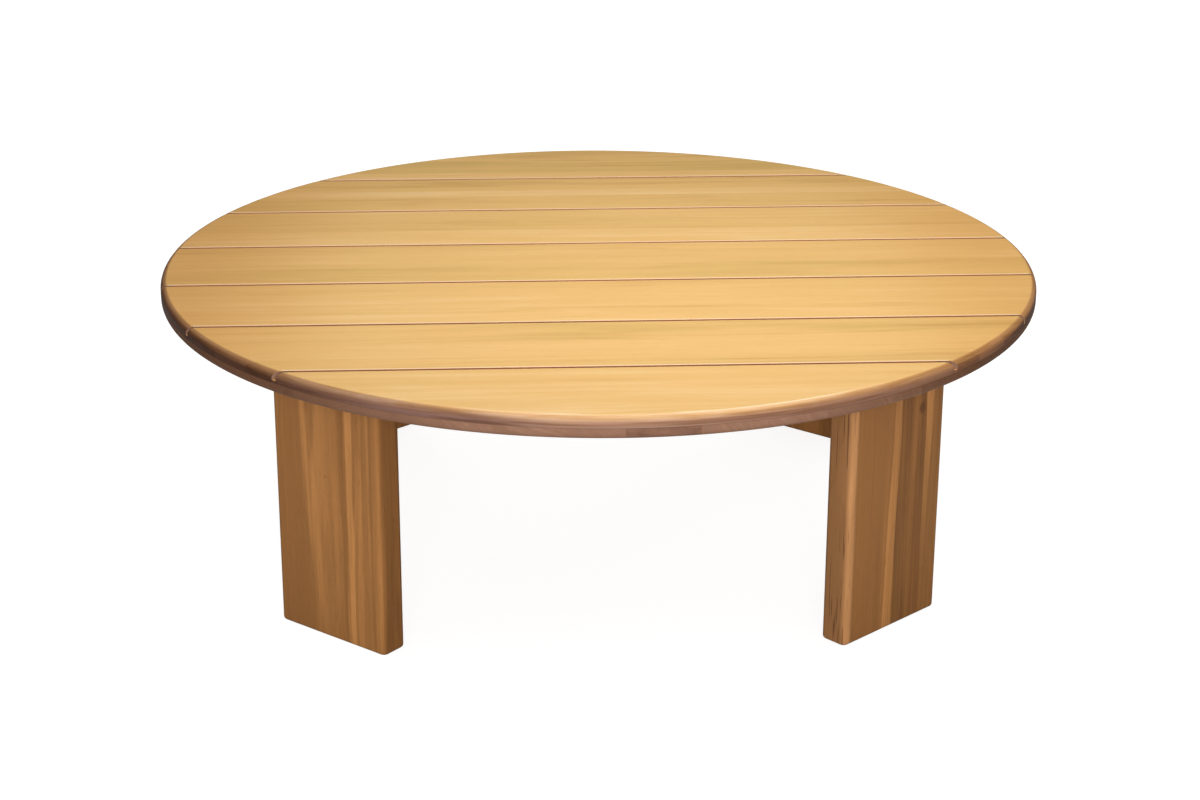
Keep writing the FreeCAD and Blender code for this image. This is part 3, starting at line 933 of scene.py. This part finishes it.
def pin_material(corner):
    material, shader, metal = new_metal(corner + "_turned_zinc", 260.0, 900.0, corner)
    spot = split(leg_place(shader.id_data, corner))
    from_axis = vector_of(minus(spot["X"], pivot_inwards), minus(spot["Z"], pivot_height))
    rings = maths("SINE", times(vector_maths("LENGTH", from_axis)["Value"], tool_marks))
    feed(shader, {
        "Base Color": mixed(metal["Patches"], (0.62, 0.63, 0.65), (0.47, 0.47, 0.46)),
        "Metallic": 1.0, "Roughness": dulled(metal, 0.28, 0.45), "Normal": bumped(rings, 0.25, 0.00003),
    })
    return material


wear_at_corners(pin_material, "hinge_pin")
print("Pins plated")

# %% [markdown]
# The detent springs are hardened strip. Tempering leaves a blue-grey oxide that turns to straw where
# the strip was hotter, and rolling leaves lines along its length.

# %% Tempered spring strip
def spring_material(corner):
    material, shader, metal = new_metal(corner + "_tempered_strip", 40.0, 1200.0, corner)
    oxide = mixed(metal["Patches"], (0.10, 0.13, 0.20), (0.26, 0.21, 0.15))
    feed(shader, {
        "Base Color": painted(oxide, times(metal["Scratches"], 0.5), 0.42, 0.42, 0.43),
        "Metallic": 1.0, "Roughness": eased(metal["Scratches"], 0.0, 1.0, 0.34, 0.5),
        "Normal": bumped(metal["Scratches"], 0.2, 0.00005),
    })
    return material


wear_at_corners(spring_material, "detent_spring")
print("Springs tempered")

# %% [markdown]
# Thin nylon washers keep the ears of the two brackets from rubbing. Nylon is milky, slightly clear and
# picks up grey dust from the steel beside it.

# %% Nylon of the washers
def washer_material():
    material, shader, dust = new_metal("milky_nylon", 300.0, 2000.0)
    feed(shader, {
        "Base Color": mixed(dust["Patches"], (0.74, 0.71, 0.63), (0.50, 0.48, 0.43)),
        "Roughness": dulled(dust, 0.42, 0.6), "Subsurface Weight": 0.15, "Subsurface Scale": 0.001,
    })
    return material


wear([corner + "_pivot_washers" for corner in corners], washer_material())
print("Washers finished")

# %% [markdown]
# Sixty-four screws and eight rivets hold the hardware. One of each is enough to describe: a node tree
# makes it from named sizes and puts it on every marked point. A small mesh of bare points carries the
# places, and the tree turns each screw a little differently about its own axis, as hands do.

# %% Helpers for pieces on points
sharp_bend = 0.6


def new_points_tree(name, inputs):
    """A geometry tree that takes marked points, named inputs and a material."""
    shape = [("Geometry", "shape")]
    return new_group(name, shape + inputs + [("Material", "material")], shape, "GeometryNodeTree")


def shaped(tree, kind, inputs=None, **settings):
    """A node that makes or changes a shape: its first output."""
    return node(tree, "GeometryNode" + kind, inputs, **settings).outputs[0]


def joined(tree, *parts):
    """Several shapes in one."""
    join = node(tree, "GeometryNodeJoinGeometry")
    for part in parts:
        tree.links.new(part, join.inputs[0])
    return join.outputs[0]


def tapered(tree, low_radius, high_radius, depth, height, sides=24):
    """A closed cone or drum that stands at a height."""
    cone = shaped(tree, "MeshCone", {
        "Vertices": sides, "Radius Bottom": low_radius, "Radius Top": high_radius, "Depth": depth,
    })
    lift = node(tree, "ShaderNodeCombineXYZ", {"Z": height}).outputs[0]
    return shaped(tree, "Transform", {"Geometry": cone, "Translation": lift})


def on_points(tree, given, out, made, crisp_above=sharp_bend, **placing):
    """Puts a shape on each point, smooths all but its sharp edges, and gives it the material."""
    placed = shaped(tree, "InstanceOnPoints", {"Points": given["Geometry"], "Instance": made, **placing})
    real = shaped(tree, "RealizeInstances", {0: placed})
    smooth = shaped(tree, "SetShadeSmooth", {"Geometry": real}, domain="FACE")
    bend = node(tree, "GeometryNodeInputMeshEdgeAngle").outputs["Unsigned Angle"]
    is_sharp = node(tree, "FunctionNodeCompare", {0: bend, 1: crisp_above}, operation="GREATER_THAN")
    crisp = shaped(tree, "SetShadeSmooth", domain="EDGE", inputs={
        "Geometry": smooth, "Selection": is_sharp.outputs[0], "Shade Smooth": False,
    })
    feed(out, {0: shaped(tree, "SetMaterial", {"Geometry": crisp, "Material": given["Material"]})})


def points_piece(name, places, tree, values, edges=()):
    """A plain mesh made by a tree from marked points, in the table's own frame."""
    mesh = bpy.data.meshes.new(name)
    mesh.from_pydata(places, edges, [])
    piece = bpy.data.objects.new(name, mesh)
    bpy.context.scene.collection.objects.link(piece)
    builder = piece.modifiers.new("builder", "NODES")
    builder.node_group = tree
    sockets = {item.name: item.identifier for item in tree.interface.items_tree if item.in_out == "INPUT"}
    for label, value in values.items():
        builder[sockets[label]] = value
    return baked(piece)


print("Helpers for points ready")

# %% [markdown]
# A countersunk wood screw has a flat head with a cross recess, a cone under the head, a slim core and a
# thread. Only the head shows on the table. The rest is made all the same, because the part is also
# looked at piece by piece. The thread is a thin three-sided section carried along a spiral.

# %% Cross-head screws
def screw_tree():
    tree, given, out = new_points_tree("Cross-head screws on points", [
        ("Shank Radius", "number", 0.0021), ("Head Radius", "number", 0.0043),
        ("Head Height", "number", 0.0023), ("Length", "number", 0.024), ("Tip Length", "number", 0.004),
        ("Recess Length", "number", 0.005), ("Recess Width", "number", 0.0011),
        ("Recess Depth", "number", 0.0013), ("Thread Pitch", "number", 0.0018),
        ("Direction", "vector", (0, 0, 1)), ("Seed", "whole", 3),
    ])
    core = times(given["Shank Radius"], 0.72)
    head_height = given["Head Height"]
    head = tapered(tree, given["Head Radius"], given["Shank Radius"], head_height, 0.0, 32)
    cut = node(tree, "GeometryNodeMeshBoolean", {"Mesh 1": head}, operation="DIFFERENCE", solver="EXACT")
    long, short, deep = given["Recess Length"], given["Recess Width"], times(given["Recess Depth"], 2.0)
    for size in (vector_of(long, short, deep), vector_of(short, long, deep)):
        tree.links.new(shaped(tree, "MeshCube", {"Size": size}), cut.inputs["Mesh 2"])
    above_tip = minus(given["Length"], given["Tip Length"])
    straight = minus(above_tip, head_height)
    shank = tapered(tree, core, core, straight, head_height)
    tip = tapered(tree, core, 0.0, given["Tip Length"], above_tip)
    spiral = shaped(tree, "CurveSpiral", {
        "Resolution": 14, "Rotations": maths("DIVIDE", straight, given["Thread Pitch"]),
        "Start Radius": core, "End Radius": core, "Height": straight,
    })
    ridge = shaped(tree, "CurvePrimitiveCircle", mode="RADIUS", inputs={
        "Resolution": 3, "Radius": minus(given["Shank Radius"], core),
    })
    thread = shaped(tree, "CurveToMesh", {
        "Curve": shaped(tree, "Transform", {"Geometry": spiral, "Translation": vector_of(z=head_height)}),
        "Profile Curve": ridge, "Fill Caps": True,
    })
    turn = node(tree, "FunctionNodeRandomValue", {
        2: 0.0, 3: pi, "Seed": given["Seed"],
    }, data_type="FLOAT").outputs[1]
    aim = node(tree, "FunctionNodeAlignRotationToVector", axis="Z", inputs={
        "Rotation": vector_of(z=turn), "Vector": given["Direction"],
    }).outputs[0]
    on_points(tree, given, out, joined(tree, cut.outputs["Mesh"], shank, tip, thread), Rotation=aim)
    return tree


def screw_material(name, plate, dull):
    """Plated screw steel in the colour of its plating."""
    material, shader, metal = new_metal(name, 320.0, 2500.0)
    feed(shader, {
        "Base Color": mixed(metal["Patches"], plate, dull), "Metallic": 1.0,
        "Roughness": dulled(metal, 0.30, 0.48), "Normal": bumped(metal["Height"], 0.15, 0.0001),
    })
    return material


cross_head_screws = screw_tree()
yellow_zinc = screw_material("yellow_zinc", (0.72, 0.56, 0.28), (0.50, 0.40, 0.24))
black_zinc = screw_material("black_zinc", (0.12, 0.12, 0.125), (0.07, 0.07, 0.07))
print("Screw tree with", len(cross_head_screws.nodes), "nodes")

# %% [markdown]
# The places of the screws follow the same rules as the holes in the solids. A leg's hardware is laid out
# in the leg's own frame, with the outer face of the slab towards +X, and one matrix per corner carries
# it to its place under the top.

# %% Screws in their holes
def leg_frame(corner):
    """The matrix from a leg's own frame to the table's frame."""
    turn = Matrix.Rotation(radians(leg_bearings[corner]), 4, "Z")
    return Matrix.Translation(leg_standpoint(corner)) @ turn


def in_leg_frame(corner, places):
    return [tuple(leg_frame(corner) @ Vector(place)) for place in places]


batten_rows = (0.372, 0.318, 0.254, 0.175, 0.111, 0.032)
batten_screw_places = [
    (side * 0.140, way * row, 0.283) for side in (-1, 1) for row in batten_rows for way in (-1, 1)
]
piece = points_piece("batten_cross_screws", batten_screw_places, cross_head_screws, {
    "Shank Radius": 0.0024, "Head Radius": 0.0048, "Head Height": 0.0026, "Length": 0.038,
    "Thread Pitch": 0.0022, "Seed": 5, "Material": yellow_zinc,
})
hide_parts("batten_screws")
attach(piece, "top")
base_screw_spots = [(x, y, 0.298) for x in (-0.030, -0.098) for y in (-0.044, 0.044)]
leg_screw_spots = [(-0.020, y, z) for y in (-0.016, 0.016) for z in (0.259, 0.234, 0.209)]
for number, corner in enumerate(corners):
    piece = points_piece(
        corner + "_base_cross_screws", in_leg_frame(corner, base_screw_spots), cross_head_screws,
        {"Length": 0.0175, "Seed": 11 + number, "Material": black_zinc},
    )
    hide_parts(corner + "_base_screws")
    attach(piece, "top")
    outwards = leg_frame(corner).to_3x3() @ Vector((1, 0, 0))
    piece = points_piece(
        corner + "_leg_cross_screws", in_leg_frame(corner, leg_screw_spots), cross_head_screws,
        {"Length": 0.024, "Direction": tuple(outwards), "Seed": 21 + number, "Material": black_zinc},
    )
    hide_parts(corner + "_leg_screws")
    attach(piece, corner)
print("Screws placed:", len(batten_screw_places) + 4 * (len(base_screw_spots) + len(leg_screw_spots)))

# %% [markdown]
# Two rivets hold each leaf spring. Their heads are low domes: a ball pressed flat, whose upper half is
# levelled so that it sits on the strip.

# %% Domed rivets
def rivet_tree():
    tree, given, out = new_points_tree("Domed rivets on points", [
        ("Head Radius", "number", 0.0038), ("Head Height", "number", 0.0014),
        ("Shank Radius", "number", 0.002), ("Grip", "number", 0.0042),
    ])
    ball = shaped(tree, "MeshUVSphere", {"Segments": 32, "Rings": 16, "Radius": 1.0})
    squash = vector_of(given["Head Radius"], given["Head Radius"], given["Head Height"])
    dome = shaped(tree, "Transform", {"Geometry": ball, "Scale": squash})
    spot = split(shaped(tree, "InputPosition"))
    level = vector_of(spot["X"], spot["Y"], maths("MINIMUM", spot["Z"], 0.0))
    head = shaped(tree, "SetPosition", {"Geometry": dome, "Position": level})
    shank = tapered(tree, given["Shank Radius"], given["Shank Radius"], given["Grip"], 0.0)
    on_points(tree, given, out, joined(tree, head, shank))
    return tree


domed_rivets = rivet_tree()
rivet_zinc = screw_material("rivet_zinc", (0.60, 0.61, 0.62), (0.42, 0.42, 0.41))
rivet_spots = [(-0.091, y, 0.2968) for y in (-0.014, 0.014)]
for corner in corners:
    piece = points_piece(
        corner + "_domed_rivets", in_leg_frame(corner, rivet_spots), domed_rivets, {"Material": rivet_zinc},
    )
    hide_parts(corner + "_spring_rivets")
    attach(piece, "top")
print("Rivets placed:", 4 * len(rivet_spots))

# %% [markdown]
# The ears are welded to the base plate. A weld is a row of small overlapping ripples along the seam, so the
# seam is a line of two marked points, the tree walks along it in even steps, and every step gets a ball of
# slightly different size. The powder coat covers the weld as well.

# %% Weld seams
def weld_tree():
    tree, given, out = new_points_tree("Weld ripples along a seam", [
        ("Bead Radius", "number", 0.0019), ("Step", "number", 0.0013), ("Seed", "whole", 1),
    ])
    seam = shaped(tree, "MeshToCurve", {0: given["Geometry"]})
    steps = shaped(tree, "ResampleCurve", {"Curve": seam, "Length": given["Step"]}, mode="LENGTH")
    bead = shaped(tree, "MeshUVSphere", {"Segments": 12, "Rings": 8, "Radius": given["Bead Radius"]})
    size = node(tree, "FunctionNodeRandomValue", {
        2: 0.85, 3: 1.0, "Seed": given["Seed"],
    }, data_type="FLOAT").outputs[1]
    on_points(tree, {"Geometry": steps, "Material": given["Material"]}, out, bead, 1.2, Scale=size)
    return tree


weld_ripples = weld_tree()
for number, corner in enumerate(corners):
    ends = [(x, side * 0.0370, 0.2980) for side in (-1, 1) for x in (-0.0215, -0.0705)]
    piece = points_piece(
        corner + "_ear_welds", in_leg_frame(corner, ends), weld_ripples,
        {"Seed": 31 + number, "Material": bracket_coats[corner]}, [(0, 1), (2, 3)],
    )
    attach(piece, "top")

# %% [markdown]
# The floor is plain and pale. It is opaque from above and clear from below, so that the underside of
# the table can be looked at too. The world is an even pale grey-white. A soft square light hangs close
# above the front boards and is the only one that shows in the varnish. A wider one stands behind the
# camera, and three weak fills lift the legs and the back, as in a small photo studio.

# %% Floor and light
floor_mesh = bpy.data.meshes.new("floor")
shape = bmesh.new()
bmesh.ops.create_circle(shape, cap_ends=True, segments=96, radius=20)
shape.to_mesh(floor_mesh)
shape.free()
floor = bpy.data.objects.new("floor", floor_mesh)
bpy.context.scene.collection.objects.link(floor)
floor_finish, tree, shader = new_material("pale_floor")
feed(shader, {"Base Color": (0.40, 0.40, 0.40), "Roughness": 0.9, "Specular IOR Level": 0.1})
paper_glow = 0.88
seen = node(tree, "ShaderNodeLightPath").outputs["Is Camera Ray"]
lift = node(tree, "ShaderNodeEmission", {"Strength": times(seen, paper_glow)}).outputs[0]
paper = node(tree, "ShaderNodeAddShader", {0: shader.outputs[0], 1: lift}).outputs[0]
clear = node(tree, "ShaderNodeBsdfTransparent").outputs[0]
below = node(tree, "ShaderNodeNewGeometry").outputs["Backfacing"]
choice = node(tree, "ShaderNodeMixShader", {0: below, 1: paper, 2: clear})
feed(tree.nodes["Material Output"], {"Surface": choice.outputs[0]})
floor_mesh.materials.append(floor_finish)

world = bpy.data.worlds.new("studio")
world.use_nodes = True
bpy.context.scene.world = world
tree = world.node_tree
rays = node(tree, "ShaderNodeLightPath").outputs
room_light = 0.45
hidden_from_gloss = 0.38
backdrop = 0.93
room = minus(room_light, times(rays["Is Glossy Ray"], hidden_from_gloss))
room = maths("MAXIMUM", room, times(rays["Is Camera Ray"], backdrop))
feed(tree.nodes["Background"], {"Color": (1.0, 1.0, 1.0), "Strength": room})


def soft_light(name, place, aim, size, power, mirrored=True):
    """A square soft light at a place, turned to its aim, that may or may not show in reflections."""
    data = bpy.data.lights.new(name, "AREA")
    data.shape = "SQUARE"
    data.size = size
    data.energy = power
    light = bpy.data.objects.new(name, data)
    light.location = place
    light.rotation_euler = (Vector(aim) - Vector(place)).to_track_quat("-Z", "Y").to_euler()
    light.visible_glossy = mirrored
    bpy.context.scene.collection.objects.link(light)
    return light


soft_light("overhead_light", (0.12, -0.20, 1.25), (0.10, -0.16, 0.3), 0.7, 8.3)
soft_light("front_light", (-0.2, -3.6, 1.05), (0.0, 0.0, 0.2), 1.6, 36, mirrored=False)
soft_light("low_front_fill", (0.5, -3.3, 0.45), (0.1, 0.0, 0.1), 1.0, 10, mirrored=False)
soft_light("back_left_fill", (-1.4, 3.6, 1.2), (0.0, 0.0, 0.2), 1.6, 14, mirrored=False)
soft_light("back_right_fill", (2.4, 3.2, 1.2), (0.0, 0.0, 0.2), 1.6, 14, mirrored=False)
bpy.context.scene.view_settings.view_transform = "Standard"
